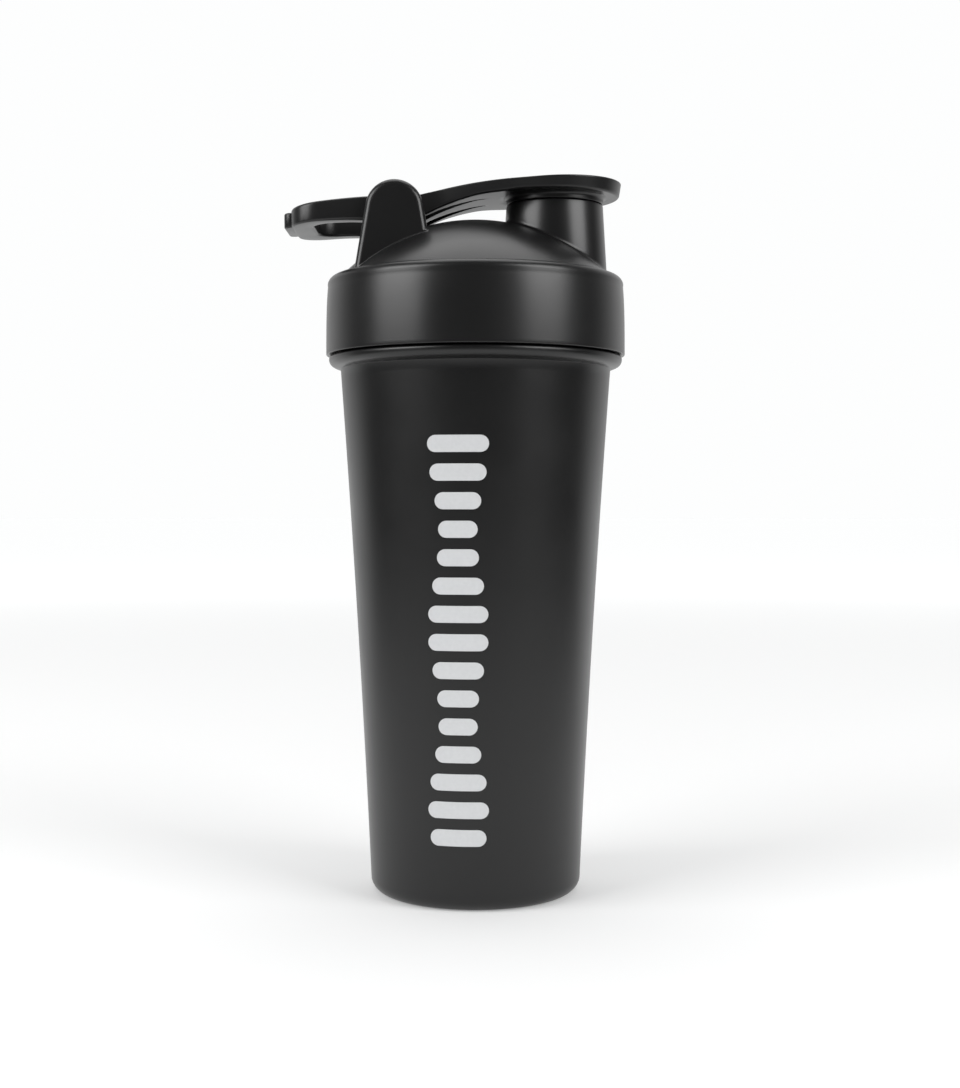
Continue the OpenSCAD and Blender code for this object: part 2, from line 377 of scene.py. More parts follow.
def spread(nodes, links, source, near, far, low, high, curve="SMOOTHSTEP"):
    """Maps near..far to low..high."""
    node = nodes.new("ShaderNodeMapRange")
    node.interpolation_type = curve
    node.inputs["From Min"].default_value = near
    node.inputs["From Max"].default_value = far
    node.inputs["To Min"].default_value = low
    node.inputs["To Max"].default_value = high
    links.new(source, node.inputs["Value"])
    return node.outputs["Result"]


def uneven(nodes, links, source, low, high):
    """A noise's middle range, mapped to low..high."""
    return spread(nodes, links, source, 0.3, 0.7, low, high, "LINEAR")


def near_black(level):
    """A dark grey with a trace of blue."""
    return level, level, level + 0.0002


def tint(nodes, links, source, dark, light):
    """A colour between dark and light."""
    node = nodes.new("ShaderNodeMix")
    node.data_type = "RGBA"
    node.inputs["A"].default_value = (*dark, 1)
    node.inputs["B"].default_value = (*light, 1)
    links.new(source, node.inputs["Factor"])
    return node.outputs["Result"]


def bump(nodes, links, shader, source, distance, strength):
    """Relief from a 0 to 1 height."""
    node = nodes.new("ShaderNodeBump")
    node.inputs["Distance"].default_value = distance
    node.inputs["Strength"].default_value = strength
    links.new(source, node.inputs["Height"])
    links.new(node.outputs["Normal"], shader.inputs["Normal"])


def moulded(name, levels, rough, grain, relief, specular=0.5):
    """Injection-moulded plastic: a fine grain, uneven gloss and a little colour drift."""
    material, nodes, links, shader = new_material(name)
    broad = noise(nodes, links, 38.0, 4.0)
    fine = noise(nodes, links, grain, 2.0)
    dark, light = [near_black(level) for level in levels]
    links.new(tint(nodes, links, broad, dark, light), shader.inputs["Base Color"])
    links.new(uneven(nodes, links, broad, *rough), shader.inputs["Roughness"])
    shader.inputs["Specular IOR Level"].default_value = specular
    bump(nodes, links, shader, fine, 0.00004, relief)
    return material


def silicone_rubber():
    """Soft dark silicone with a powdery sheen."""
    material, nodes, links, shader = new_material("silicone")
    broad = noise(nodes, links, 90.0, 4.0)
    dark, light = (0.030, 0.030, 0.032), (0.045, 0.045, 0.048)
    links.new(tint(nodes, links, broad, dark, light), shader.inputs["Base Color"])
    links.new(uneven(nodes, links, broad, 0.55, 0.7), shader.inputs["Roughness"])
    shader.inputs["Sheen Weight"].default_value = 0.15
    shader.inputs["Sheen Roughness"].default_value = 0.5
    bump(nodes, links, shader, noise(nodes, links, 1800.0, 2.0), 0.00003, 0.25)
    return material


def drawn_steel():
    """Polished stainless wire with faint drawing marks."""
    material, nodes, links, shader = new_material("steel_wire")
    broad = noise(nodes, links, 60.0, 3.0)
    dark, light = (0.58, 0.58, 0.59), (0.72, 0.72, 0.73)
    links.new(tint(nodes, links, broad, dark, light), shader.inputs["Base Color"])
    links.new(uneven(nodes, links, broad, 0.16, 0.3), shader.inputs["Roughness"])
    shader.inputs["Metallic"].default_value = 1.0
    bump(nodes, links, shader, noise(nodes, links, 700.0, 2.0, (1.0, 1.0, 6.0)), 0.00002, 0.3)
    return material


def screen_ink():
    """Light grey screen-print ink: dull, slightly uneven in cover."""
    material, nodes, links, shader = new_material("screen_ink")
    speckle = noise(nodes, links, 900.0, 3.0)
    dark, light = (0.59, 0.60, 0.61), (0.67, 0.68, 0.69)
    links.new(tint(nodes, links, speckle, dark, light), shader.inputs["Base Color"])
    links.new(uneven(nodes, links, speckle, 0.45, 0.6), shader.inputs["Roughness"])
    bump(nodes, links, shader, noise(nodes, links, 2600.0, 2.0), 0.00002, 0.2)
    return material


CUP_PLASTIC = moulded("cup_plastic", (0.0038, 0.0052), (0.30, 0.35), 2600.0, 0.10)
LID_PLASTIC = moulded("lid_plastic", (0.0068, 0.0084), (0.28, 0.33), 2400.0, 0.07)
CAP_PLASTIC = moulded("cap_plastic", (0.0100, 0.0120), (0.29, 0.34), 1800.0, 0.03, specular=0.42)
SILICONE = silicone_rubber()
STEEL = drawn_steel()
INK = screen_ink()


# ---------------------------------------------------------------- threads

def thread_arc(radius, side, z_low, index):
    """One helical arc of the screw thread, tapered at both ends."""
    rings = []
    steps = 40
    for i in range(steps + 1):
        along = (i / steps - 0.5) * THREAD_ARC
        turn = math.radians(90 * (index + 0.5) + along)
        z = z_low + PITCH * (index + 0.5) / 4 + PITCH * along / 360
        rise = THREAD_H * smooth(0, 9, THREAD_ARC / 2 - abs(along)) + 0.02
        section = [(-0.4, -1.3), (0.0, -1.15), (rise * 0.7, -0.7), (rise, -0.4), (rise, 0.4),
                   (rise * 0.7, 0.7), (0.0, 1.15), (-0.4, 1.3)]
        ring = []
        for out, up in section:
            r = radius + side * out
            ring.append((r * math.cos(turn), r * math.sin(turn), z + up))
        rings.append(ring)
    return tube(rings)


def thread(radius, side, z_low):
    """A screw thread of interrupted arcs; side is 1 on the outside of a wall and -1 on the inside."""
    return join(*[thread_arc(radius, side, z_low, i) for i in range(THREAD_ARCS)])


# ---------------------------------------------------------------- cup

def cup_profile():
    """Half section: base, wall, shoulder bead, neck, rim, inside and floor."""
    low = BASE_CORNER
    steps = 56
    pad_r = wall_r(low) - low - 2.4
    base = [(0.0, BASE_RECESS), (pad_r - 1.0, BASE_RECESS)]
    foot = bezier((pad_r - 0.9, BASE_RECESS), (pad_r - 0.2, BASE_RECESS),
                  (pad_r - 0.3, 0.0), (pad_r + 0.6, 0.0), 6)
    corner = arc((wall_r(low) - low, low), low, -90, 0, 14)
    wall = [(wall_r(z), z) for z in (low + (CREASE_Z - low) * i / steps for i in range(1, steps + 1))]
    bead = bezier((NECK_R + 0.1, CREASE_Z + 0.2), (NECK_R + 1.8, CREASE_Z + 0.7), (BEAD_R, CREASE_Z + 1.1),
                  (BEAD_R, BEAD_TOP - BEAD_EDGE), 14)
    shoulder = arc((BEAD_R - BEAD_EDGE, BEAD_TOP - BEAD_EDGE), BEAD_EDGE, 0, 90, 12)[1:]
    neck = [(NECK_R + 0.5, BEAD_TOP), (NECK_R + 0.15, BEAD_TOP + 0.12),
            (NECK_R, BEAD_TOP + 0.5), (NECK_R, RIM - 0.7)]
    rim = arc((NECK_R - 0.7, RIM - 0.7), 0.7, 0, 90, 5)[1:] + arc((NECK_IN + 0.6, RIM - 0.6), 0.6, 90, 180, 5)
    inside = [(min(wall_r(z) - WALL, NECK_IN), z) for z in
              (low + FLOOR + (CREASE_Z - low - FLOOR) * i / steps for i in range(steps, 0, -1))]
    floor = arc((wall_r(low) - WALL - low, low + FLOOR), low, 0, -90, 12)
    return base + foot + corner + wall + bead + shoulder + neck + rim + inside + floor + [(0.0, FLOOR)]


def cup():
    """The cup: tumbler, neck and screw thread."""
    part = join(revolve(cup_profile()), thread(NECK_R, 1, THREAD_Z))
    make("cup_body", part, "cup", CUP_PLASTIC, ("cup",))


# ---------------------------------------------------------------- print on the cup

PRINT_LOW = 19.0
PRINT_HIGH = 148.0
PRINT_BARS = 15
PRINT_OFFSET = -5.3
BAR_SHARE = 0.60
BAR_LENGTH = 15.5
BAR_CHANGE = 3.5
BARS_PER_WAVE = 6.5
INK_OUT = 0.05
INK_IN = 0.2


def bar(centre_s, z_mid, length, height):
    """A rounded bar of ink that follows the cup's wall; s runs round the wall."""
    columns, rows = 26, 3
    skin, back = [], []
    half, end = length / 2, height / 2
    for i in range(columns + 1):
        s = -half * math.cos(math.pi * i / columns)
        over = max(abs(s) - (half - end), 0.0)
        half_h = math.sqrt(max(end * end - over * over, 1e-6))
        for j in range(rows + 1):
            z = z_mid - half_h + 2 * half_h * j / rows
            r = wall_r(z)
            t = -math.pi / 2 + (centre_s + s) / r
            skin.append(((r + INK_OUT) * math.cos(t), (r + INK_OUT) * math.sin(t), z))
            back.append(((r - INK_IN) * math.cos(t), (r - INK_IN) * math.sin(t), z))
    n, width = len(skin), rows + 1
    faces = []
    for i in range(columns):
        for j in range(rows):
            a = i * width + j
            faces.append((a, a + 1, a + width + 1, a + width))
            faces.append((n + a, n + a + width, n + a + width + 1, n + a + 1))
    edge = [i * width for i in range(columns + 1)]
    edge += [columns * width + j for j in range(1, width)]
    edge += [i * width + rows for i in range(columns - 1, -1, -1)]
    edge += list(range(rows - 1, 0, -1))
    for a, b in zip(edge, edge[1:] + edge[:1]):
        faces.append((a, b, n + b, n + a))
    return skin + back, faces


def print_mark():
    """A plain column of bars whose lengths rise and fall."""
    step = (PRINT_HIGH - PRINT_LOW) / PRINT_BARS
    bars = []
    for i in range(PRINT_BARS):
        z = PRINT_LOW + step * (i + 0.5)
        length = BAR_LENGTH + BAR_CHANGE * math.cos(2 * math.pi * (i - 1) / BARS_PER_WAVE)
        bars.append(bar(PRINT_OFFSET, z, length, step * BAR_SHARE))
    make("print_bars", join(*bars), "cup", INK)


# ---------------------------------------------------------------- lid

def lid_profile():
    """Half section of the ring, shoulder, dome and plug skirt."""
    side_z = RIM - 12
    ring = rounded([(RING_IN + 0.3, RING_Z, 0.25), (RING_R, RING_Z, 0.3), (RING_R, side_z, 0.0)])[:-1]
    side = bezier((RING_R, RING_Z + 1.2), (RING_R, side_z),
                  (RING_R - 0.1, RIM - 4), (RING_R - 0.6, RIM + 0.8), 14)
    shoulder = arc((RING_R - 0.5 - SHOULDER_R, RIM + 1.3), SHOULDER_R, 6, 84, 12)
    crease = bezier((RING_R - 3.2, RIM + 4.05), (RING_R - 3.55, RIM + 4.0), (FOOT_R + 0.15, FOOT_Z - 0.1),
                    (FOOT_R - 0.2, FOOT_Z + 0.08), 6)
    low = math.degrees(math.acos((FOOT_R - 0.6) / DOME_R))
    dome = arc((0, DOME_Z), DOME_R, low, 90, 64)[:-1] + [(0.0, DOME_Z + DOME_R)]
    in_r = DOME_R - DOME_WALL
    in_low = math.degrees(math.acos(SKIRT_IN / in_r))
    under = [(0.0, DOME_Z + in_r)] + arc((0, DOME_Z), in_r, 90, in_low, 48)[1:]
    skirt = rounded([
        (SKIRT_IN, SKIRT_LOW + 6, 0.0), (SKIRT_IN, SKIRT_LOW, 0.6), (SKIRT_R, SKIRT_LOW, 0.8),
        (SKIRT_R, CEILING, 0.15), (RING_IN, CEILING, 0.3), (RING_IN, RING_Z + 1.0, 0.0)])
    return ring + side + shoulder + crease + dome + under + skirt


def spout_foot(c, s):
    """Where the spout's fillet meets the lid in direction (c, s): distance from the spout's axis, x, y, z."""
    foot = SPOUT_R + 1.7
    x, y = SPOUT_X + foot * c, foot * s
    if math.hypot(x, y) < FOOT_R - 0.4:
        return foot, x, y, dome_z(x, y)
    b = SPOUT_X * c
    to_edge = -b + math.sqrt(b * b - SPOUT_X ** 2 + (FOOT_R - 0.5) ** 2)
    foot = max(to_edge, SPOUT_R + 1.2)
    x, y = SPOUT_X + foot * c, foot * s
    return foot, x, y, dome_z(x, y) if math.hypot(x, y) < FOOT_R else FOOT_Z


def spout_ring(theta):
    """Spout section at one angle: fillet to the dome, wall, step, neck, mouth, bore."""
    c, s = math.cos(theta), math.sin(theta)
    foot, x, y, z_foot = spout_foot(c, s)
    slope = -(x * c + y * s) / max(dome_z(x, y) - DOME_Z, 1.0)
    wall = SPOUT_R + SPOUT_DRAFT * (STEP_Z - z_foot)
    lift = 1.0
    wall_z = z_foot - slope * (foot - wall) + lift
    reach = (foot - wall) * 0.75
    fillet = bezier((foot + 0.1, z_foot - 0.06 + 0.1 * slope), (foot - reach, z_foot - slope * reach),
                    (wall, wall_z - lift * 0.55), (wall - 0.02, wall_z + 0.3), 7)
    top = rounded([
        (wall - 0.02, wall_z + 0.5, 0.0), (SPOUT_R, STEP_Z, 0.35), (SPOUT_NECK, STEP_Z, 0.15),
        (SPOUT_NECK - 0.15, SPOUT_TOP, 0.5), (MOUTH_R, SPOUT_TOP, 0.5), (MOUTH_R, STEP_Z + 0.5, 0.2),
        (BORE_R, STEP_Z - 0.6, 0.4), (BORE_R, RIM + 4, 0.0)], 4)[:-1]
    z_in = dome_z(SPOUT_X + BORE_R * c, BORE_R * s, DOME_WALL) - 0.4
    hidden = [(BORE_R, z_in), (BORE_R + 0.9, z_in - 0.1), (foot - 0.4, z_foot - 0.9 + 0.4 * abs(slope))]
    return [(SPOUT_X + r * c, r * s, z) for r, z in fillet + top + hidden]


def spout():
    """The round spout, with its fillet, from one section at each angle."""
    rings = [spout_ring(2 * math.pi * k / SEGMENTS) for k in range(SEGMENTS)]
    return tube(rings, loop=True)


def ear_outline(inset):
    """Half of the ear's outline, from its crown down one side, as (x from the hinge, z)."""
    crown = arc((0, HINGE_Z), EAR_R - inset, 90, 8, 22)
    x, z = crown[-1]
    foot_x = EAR_R + EAR_SPLAY * (EAR_SPLAY_Z - EAR_LOW) - inset
    return crown + [(x + (foot_x - x) * i / 10, z + (EAR_LOW - z) * i / 10) for i in range(1, 11)]


def ear_edges():
    """How far the ear's outline is drawn in, and at which Y, from its inner face to its outer."""
    edges = []
    for k in range(6):
        t = math.radians(90 * k / 5)
        edges.append((EAR_EDGE_IN * (1 - math.sin(t)), EAR_IN + EAR_EDGE_IN * (1 - math.cos(t))))
    for k in range(7):
        t = math.radians(90 * k / 6)
        edges.append((EAR_EDGE_OUT * (1 - math.cos(t)), EAR_OUT - EAR_EDGE_OUT * (1 - math.sin(t))))
    return edges


def ear():
    """One ear: a plate with an outline of arcs, both faces rounded over at the edge."""
    verts, faces, rows = [], [], []
    for inset, y in ear_edges():
        half = ear_outline(inset)
        ring = [(HINGE_X - x, y, z) for x, z in reversed(half[1:])] + [(HINGE_X + x, y, z) for x, z in half]
        rows.append(range(len(verts), len(verts) + len(ring)))
        verts += ring
    n = len(rows[0])
    for a, b in zip(rows, rows[1:]):
        for k in range(n):
            m = (k + 1) % n
            faces.append((a[k], a[m], b[m], b[k]))
    for row, turn in ((rows[0], 1), (rows[-1], -1)):
        for k in range(n // 2):
            quad = tuple(dict.fromkeys((row[k], row[k + 1], row[n - 2 - k], row[n - 1 - k])))
            if len(quad) > 2:
                faces.append(quad[::turn])
    return verts, faces


def ear_plan():
    """Points round the ear's foot from its middle, with their outward directions, as (x, y, nx, ny)."""
    corner = 1.2
    half_x, half_y = EAR_R, (EAR_OUT - EAR_IN) / 2
    path = []
    for cx, cy, a in ((1, 1, 0), (-1, 1, 90), (-1, -1, 180), (1, -1, 270)):
        for i in range(7):
            t = math.radians(a + 90 * i / 6)
            path.append((cx * (half_x - corner) + corner * math.cos(t),
                         cy * (half_y - corner) + corner * math.sin(t), math.cos(t), math.sin(t)))
    dense = []
    for p, q in zip(path, path[1:] + path[:1]):
        steps = max(1, int(math.hypot(q[0] - p[0], q[1] - p[1]) / 0.8))
        dense += [tuple(a + (b - a) * i / steps for a, b in zip(p, q)) for i in range(steps)]
    return dense


def ear_lean(x, z):
    """How far a point of the ear, x from its middle, has splayed along X at height z."""
    return EAR_SPLAY * max(EAR_SPLAY_Z - z, 0) * (1 if x > 0 else -1) * min(abs(x) / EAR_R, 1.0)


def ear_cove():
    """A narrow cove where the ear stands on the dome."""
    reach, lift, buried = 0.7, 0.7, 0.8
    rings = []
    for px, py, nx, ny in ear_plan():
        x, y = HINGE_X + px, (EAR_IN + EAR_OUT) / 2 + py
        x += ear_lean(px, lid_top_z(x, y))
        z = lid_top_z(x, y)
        foot_x, foot_y = x + nx * reach, y + ny * reach
        near_x, near_y = x + nx * reach * 0.25, y + ny * reach * 0.25
        beyond = min(FOOT_Z, z)
        foot_z = lid_top_z(foot_x, foot_y, beyond)
        near_z = lid_top_z(near_x, near_y, beyond)
        top_x = x - ear_lean(px, z) + ear_lean(px, z + lift)
        curve = bezier((foot_x, foot_y, foot_z - 0.05), (near_x, near_y, near_z), (x, y, z + lift * 0.25),
                       (top_x - nx * 0.03, y - ny * 0.03, z + lift), 6)
        in_x, in_y = x - nx * buried, y - ny * buried
        hidden = [(in_x, in_y, z + lift * 0.5), (in_x, in_y, z - 1.0), (foot_x, foot_y, foot_z - buried)]
        rings.append(curve + hidden)
    return tube(rings, loop=True)


def lid():
    """The lid: shell, thread, spout, and two ears with their coves and blind sockets."""
    def piece(name, part, stands_for=()):
        return make(name, part, "lid", LID_PLASTIC, stands_for)

    shell = piece("lid_shell", revolve(lid_profile()), ("lid",))
    hole = BORE_R + 0.6
    bore = [(0.0, RIM - 8), (hole, RIM - 8), (hole, CAP_TOP), (0.0, CAP_TOP)]
    cut(shell, revolve(bore, FEW_SEGMENTS, SPOUT_X))
    piece("lid_thread", thread(RING_IN, -1, THREAD_Z - PITCH / 2))
    piece("lid_spout", spout())
    for side, turned in (("left", tuple), ("right", mirrored)):
        plate = piece("lid_ear_" + side, turned(ear()))
        cut(plate, pin(STUB_R + BORE_GAP, EAR_IN + SOCKET_DEPTH))
        piece("lid_ear_cove_" + side, turned(ear_cove()))


# ---------------------------------------------------------------- gasket and seal

def gasket():
    """The ring between the lid's ceiling and the cup's rim, with a groove for the rim."""
    low, high = RIM + 0.05, CEILING - 0.05
    inner, outer = SKIRT_R + 0.3, RING_IN - 0.3
    mid = (inner + outer) / 2
    profile = rounded([
        (inner, low, 0.25), (mid - 0.6, low, 0.1), (mid - 0.3, low + 0.25, 0.1),
        (mid + 0.3, low + 0.25, 0.1), (mid + 0.6, low, 0.1), (outer, low, 0.25),
        (outer, high, 0.45), (inner, high, 0.45)], 4)
    make("gasket_ring", revolve(profile), "gasket", SILICONE, ("lid_gasket",))


def seal():
    """The plug over the boss under the flange, with a ribbed side."""
    r = MOUTH_R - 0.5
    hole = BOSS_NECK + 0.05
    low, high = BOSS_LOW, FLANGE_Z
    profile = rounded([
        (BOSS_R + 0.05, low, 0.15), (r - 0.8, low, 0.7), (r, low + 1.7, 0.4), (r, high - 1.3, 0.2),
        (r - 0.35, high - 0.9, 0.2), (r, high - 0.5, 0.2), (r, high, 0.1), (hole, high, 0.0),
        (hole, low + 0.8, 0.1), (BOSS_R + 0.05, low + 0.5, 0.1)], 4)
    plug = revolve(profile, SEAL_SEGMENTS, SPOUT_X)
    make("seal_plug", plug, "flip_cap", SILICONE, ("spout_seal",))


# ---------------------------------------------------------------- flip cap

ARM_TOP_START = (HINGE_X + 2, HINGE_Z + 4.8)
ARM_LOW_START = (HINGE_X + 3.7, HINGE_Z - 3.6)
ARM_TOP = bezier(ARM_TOP_START, (HINGE_X + 11, HINGE_Z + 6.9), (HINGE_X + 21, CAP_TOP - 0.4),
                 (HINGE_X + 37, CAP_TOP + 0.2), 48) + [(SPOUT_X + FLANGE_R, TIP_Z)]
ARM_UNDER = bezier(ARM_LOW_START, (HINGE_X + 11, HINGE_Z + 1.4), (HINGE_X + 21, HINGE_Z + 5.7),
                   (HINGE_X + 39, FLANGE_Z), 48)
ARM_END_SLOPE = 0.25
GROOVE_DEPTH = 1.9
LIP = 0.8
TOP_EDGE = 0.35


def arm_top(x):
    """Height of the arm's top; inside the hinge barrel it falls on at a steady slope."""
    return lookup(ARM_TOP, x) - ARM_END_SLOPE * max(ARM_TOP_START[0] - x, 0.0)


def arm_under(x):
    """Height of the arm's underside; inside the hinge barrel it rises at a steady slope."""
    return lookup(ARM_UNDER, x) + ARM_END_SLOPE * max(ARM_LOW_START[0] - x, 0.0)


def arm_groove(x, y):
    """Depth of the two tapered grooves under the arm."""
    start, end = HINGE_X + 7, HINGE_X + 29
    if not start - 0.6 < x < end:
        return 0.0
    t = max((x - start) / (end - start), 0.0)
    inner, outer = 2.2 + 3.8 * t, 10.0 - 4.0 * t
    inside = smooth(0.0, 0.6, abs(y) - inner) * smooth(0.0, 0.3, outer - abs(y))
    return GROOVE_DEPTH * inside * smooth(-0.6, 0.3, x - start)


def arm_low(x, y):
    """Height of the underside with the flange's step down outside the collar."""
    r = math.hypot(x - SPOUT_X, y)
    return arm_under(x) - LIP * smooth(SPOUT_R + 0.2, SPOUT_R + 1.6, r) * smooth(-1.0, 12.0, x)


def arm_edge_r(x):
    """Radius of the lower edge, a little larger round the flange."""
    return 0.9 + 0.1 * smooth(-4.0, 16.0, x)


def arm_draft(x):
    """How far the side leans in from top to bottom."""
    return 0.5 * smooth(-18.0, 16.0, x)


def arm_outline():
    """Half of the arm and flange in plan, from the tip to the hinge, as (x, y, outward normal)."""
    corner = Vector((HINGE_X + 13, ARM_W))
    centre = Vector((SPOUT_X, 0.0))
    gap = centre - corner
    lean = math.atan2(gap.y, gap.x) + math.asin(FLANGE_R / gap.length)
    touch = 90 + math.degrees(lean)
    points = arc(centre, FLANGE_R, 0, touch, 60)
    run = [Vector(points[-1]), corner, Vector((HINGE_X + 4, ARM_W)), Vector((HINGE_X, ARM_W))]
    straight = []
    for p, q, n in ((run[0], run[1], 30), (run[1], run[2], 10), (run[2], run[3], 8)):
        straight += [tuple(p + (q - p) * i / n) for i in range(1, n + 1)]
    points += straight
    for _ in range(6):
        for i in range(62, len(points) - 9):
            x0, x1, x2 = points[i - 1], points[i], points[i + 1]
            points[i] = tuple(0.25 * a + 0.5 * b + 0.25 * c for a, b, c in zip(x0, x1, x2))
    out = []
    for i, p in enumerate(points):
        a, b = points[max(i - 1, 0)], points[min(i + 1, len(points) - 1)]
        d = Vector((b[0] - a[0], b[1] - a[1])).normalized()
        normal = Vector((d.y, -d.x))
        if i == 0:
            normal = Vector((1.0, 0.0))
        out.append((p[0], p[1], normal.x, normal.y))
    return out


def arm_sides():
    """The skin's rings from its top edge to its lower one, each as (inset at x, height at px, py, x)."""
    sides = []
    for k in range(5):
        t = math.radians(90 * k / 4)
        sides.append((lambda x, t=t: TOP_EDGE * (1 - math.sin(t)),
                      lambda px, py, x, t=t: arm_top(px) - TOP_EDGE * (1 - math.cos(t))))
    for f in (0.08, 0.5, 0.92):
        sides.append((lambda x, f=f: arm_draft(x) * f,
                      lambda px, py, x, f=f: (1 - f) * (arm_top(px) - TOP_EDGE)
                      + f * (arm_low(px, py) + arm_edge_r(x))))
    for k in range(8):
        t = math.radians(90 * k / 7)
        sides.append((lambda x, t=t: arm_draft(x) + arm_edge_r(x) * (1 - math.cos(t)),
                      lambda px, py, x, t=t: arm_low(px, py) + arm_edge_r(x) * (1 - math.sin(t))))
    return sides


def arm_ring(verts, outline, inset, height):
    """Adds one ring of the skin to verts; returns its left and its right half as vertex numbers."""
    row = []
    for x, y, nx, ny in outline:
        px, py = x - nx * inset(x), max(y - ny * inset(x), 0.0)
        row.append((px, py, height(px, py, x)))
    left = list(range(len(verts), len(verts) + len(row)))
    verts += row
    right = [left[0]] + list(range(len(verts), len(verts) + len(row) - 1))
    verts += [(x, -y, z) for x, y, z in row[1:]]
    return left, right


def arm_face(verts, faces, left, right, height):
    """Closes the top or the underside with a grid between the two halves of a ring."""
    across = 96
    grid = [[left[0]] * (across + 1)]
    for i, k in zip(left[1:], right[1:]):
        x, y0, y1 = verts[i][0], verts[i][1], verts[k][1]
        row = [i]
        for j in range(1, across):
            y = y0 + (y1 - y0) * j / across
            row.append(len(verts))
            verts.append((x, y, height(x, y)))
        grid.append(row + [k])
    for p, q in zip(grid, grid[1:]):
        for j in range(across):
            quad = tuple(dict.fromkeys((p[j], p[j + 1], q[j + 1], q[j])))
            if len(quad) > 2:
                faces.append(quad)


def arm_body():
    """The arm and flange as one closed skin, rounded over all along its outline."""
    outline = arm_outline()
    verts, faces = [], []
    rings = [arm_ring(verts, outline, inset, height) for inset, height in arm_sides()]
    for (l0, r0), (l1, r1) in zip(rings, rings[1:]):
        for a, b, turn in ((l0, l1, 1), (r0, r1, -1)):
            for i in range(len(outline) - 1):
                quad = tuple(dict.fromkeys((a[i], a[i + 1], b[i + 1], b[i])))
                faces.append(quad[::turn])
        faces.append((l0[-1], r0[-1], r1[-1], l1[-1]))
    arm_face(verts, faces, *rings[0], lambda x, y: arm_top(x))
    arm_face(verts, faces, *rings[-1], lambda x, y: arm_low(x, y) + arm_groove(x, y))
    return verts, faces


def barrel():
    """The barrel that the cap turns on, with its two stub pins."""
    half = rounded([(0.0, -ARM_W, 0.0), (BARREL_R, -ARM_W, 0.5), (BARREL_R, ARM_W, 0.5), (0.0, ARM_W, 0.0)])
    stub = rounded([(0.0, -STUB_Y, 0.0), (STUB_R, -STUB_Y, 0.4), (STUB_R, STUB_Y, 0.4), (0.0, STUB_Y, 0.0)])
    return join(lathe_y(half), lathe_y(stub))


def collar():
    """The skirt that closes over the spout's neck and flares into the flange."""
    flare_r = 1.2
    flare_z = FLANGE_Z - 2.0
    outer = SPOUT_R + flare_r + 1.0
    flare = arc((SPOUT_R + flare_r, flare_z), flare_r, 180, 90, 8)
    low = rounded([(COLLAR_IN, FLANGE_Z + 0.6, 0.0), (COLLAR_IN, COLLAR_Z, 0.25), (SPOUT_R, COLLAR_Z, 0.25),
                   (SPOUT_R, flare_z, 0.0)])
    profile = low[:-1] + flare + [(outer, FLANGE_Z - 0.7), (outer, FLANGE_Z + 0.6)]
    return revolve(profile, SEGMENTS, SPOUT_X)


def boss():
    """The stud that holds the seal."""
    top = FLANGE_Z + 0.4
    profile = rounded([
        (0.0, BOSS_LOW, 0.0), (BOSS_R, BOSS_LOW, 0.2), (BOSS_R, BOSS_LOW + 0.5, 0.1),
        (BOSS_NECK, BOSS_LOW + 0.8, 0.1), (BOSS_NECK, top, 0.0), (0.0, top, 0.0)], 3)
    return revolve(profile, FEW_SEGMENTS, SPOUT_X)


def flip_cap():
    """The flip cap: arm, flange and hinge barrel, then the collar and the boss."""
    make("cap_arm", join(arm_body(), barrel()), "flip_cap", CAP_PLASTIC, ("flip_cap",))
    make("cap_collar", join(collar(), boss()), "flip_cap", CAP_PLASTIC)


# ---------------------------------------------------------------- carry loop

LOOP_TOP = bezier((LOOP_END, HINGE_Z + 1.6), (LOOP_END + 8, HINGE_Z + 2.9),
                  (HINGE_X - 13, HINGE_Z + EYE_R - 0.1), (HINGE_X, HINGE_Z + EYE_R), 40)
LOOP_UNDER = bezier((LOOP_END, LOOP_LOW), (LOOP_END + 12, HINGE_Z - 3),
                    (HINGE_X - 8, HINGE_Z - EYE_R + 3), (HINGE_X, HINGE_Z - EYE_R), 40)
LOOP_TOP_R = 1.0
LOOP_LOW_R = 0.9
TAB_HALF = 9.4
TAB_CORNER = 2.4
TAB_LOW = HINGE_Z - 3.8
TAB_HIGH = HINGE_Z + 0.9
TAB_EDGE = 0.7
TAB_TILT = 0.1


def fork(a, half_w, r):
    """Half of a fork's outline, from the middle of its end round one corner to the eye."""
    end = [(a, (half_w - r) * i / 8) for i in range(8)]
    corner = arc((a + r, half_w - r), r, 180, 90, 14)
    start = corner[-1][0]
    side = [(start + (HINGE_X - start) * i / 24, half_w) for i in range(1, 25)]
    eye = [(HINGE_X + EYE_R * math.sin(math.radians(90 * i / 12)), half_w) for i in range(1, 13)]
    return end + corner + side + eye


def loop_heights(x):
    """Heights of the loop's top and underside at x."""
    if x > HINGE_X:
        half = math.sqrt(max(EYE_R ** 2 - (x - HINGE_X) ** 2, 0.0))
        return HINGE_Z + half, HINGE_Z - half
    return lookup(LOOP_TOP, x), lookup(LOOP_UNDER, x)


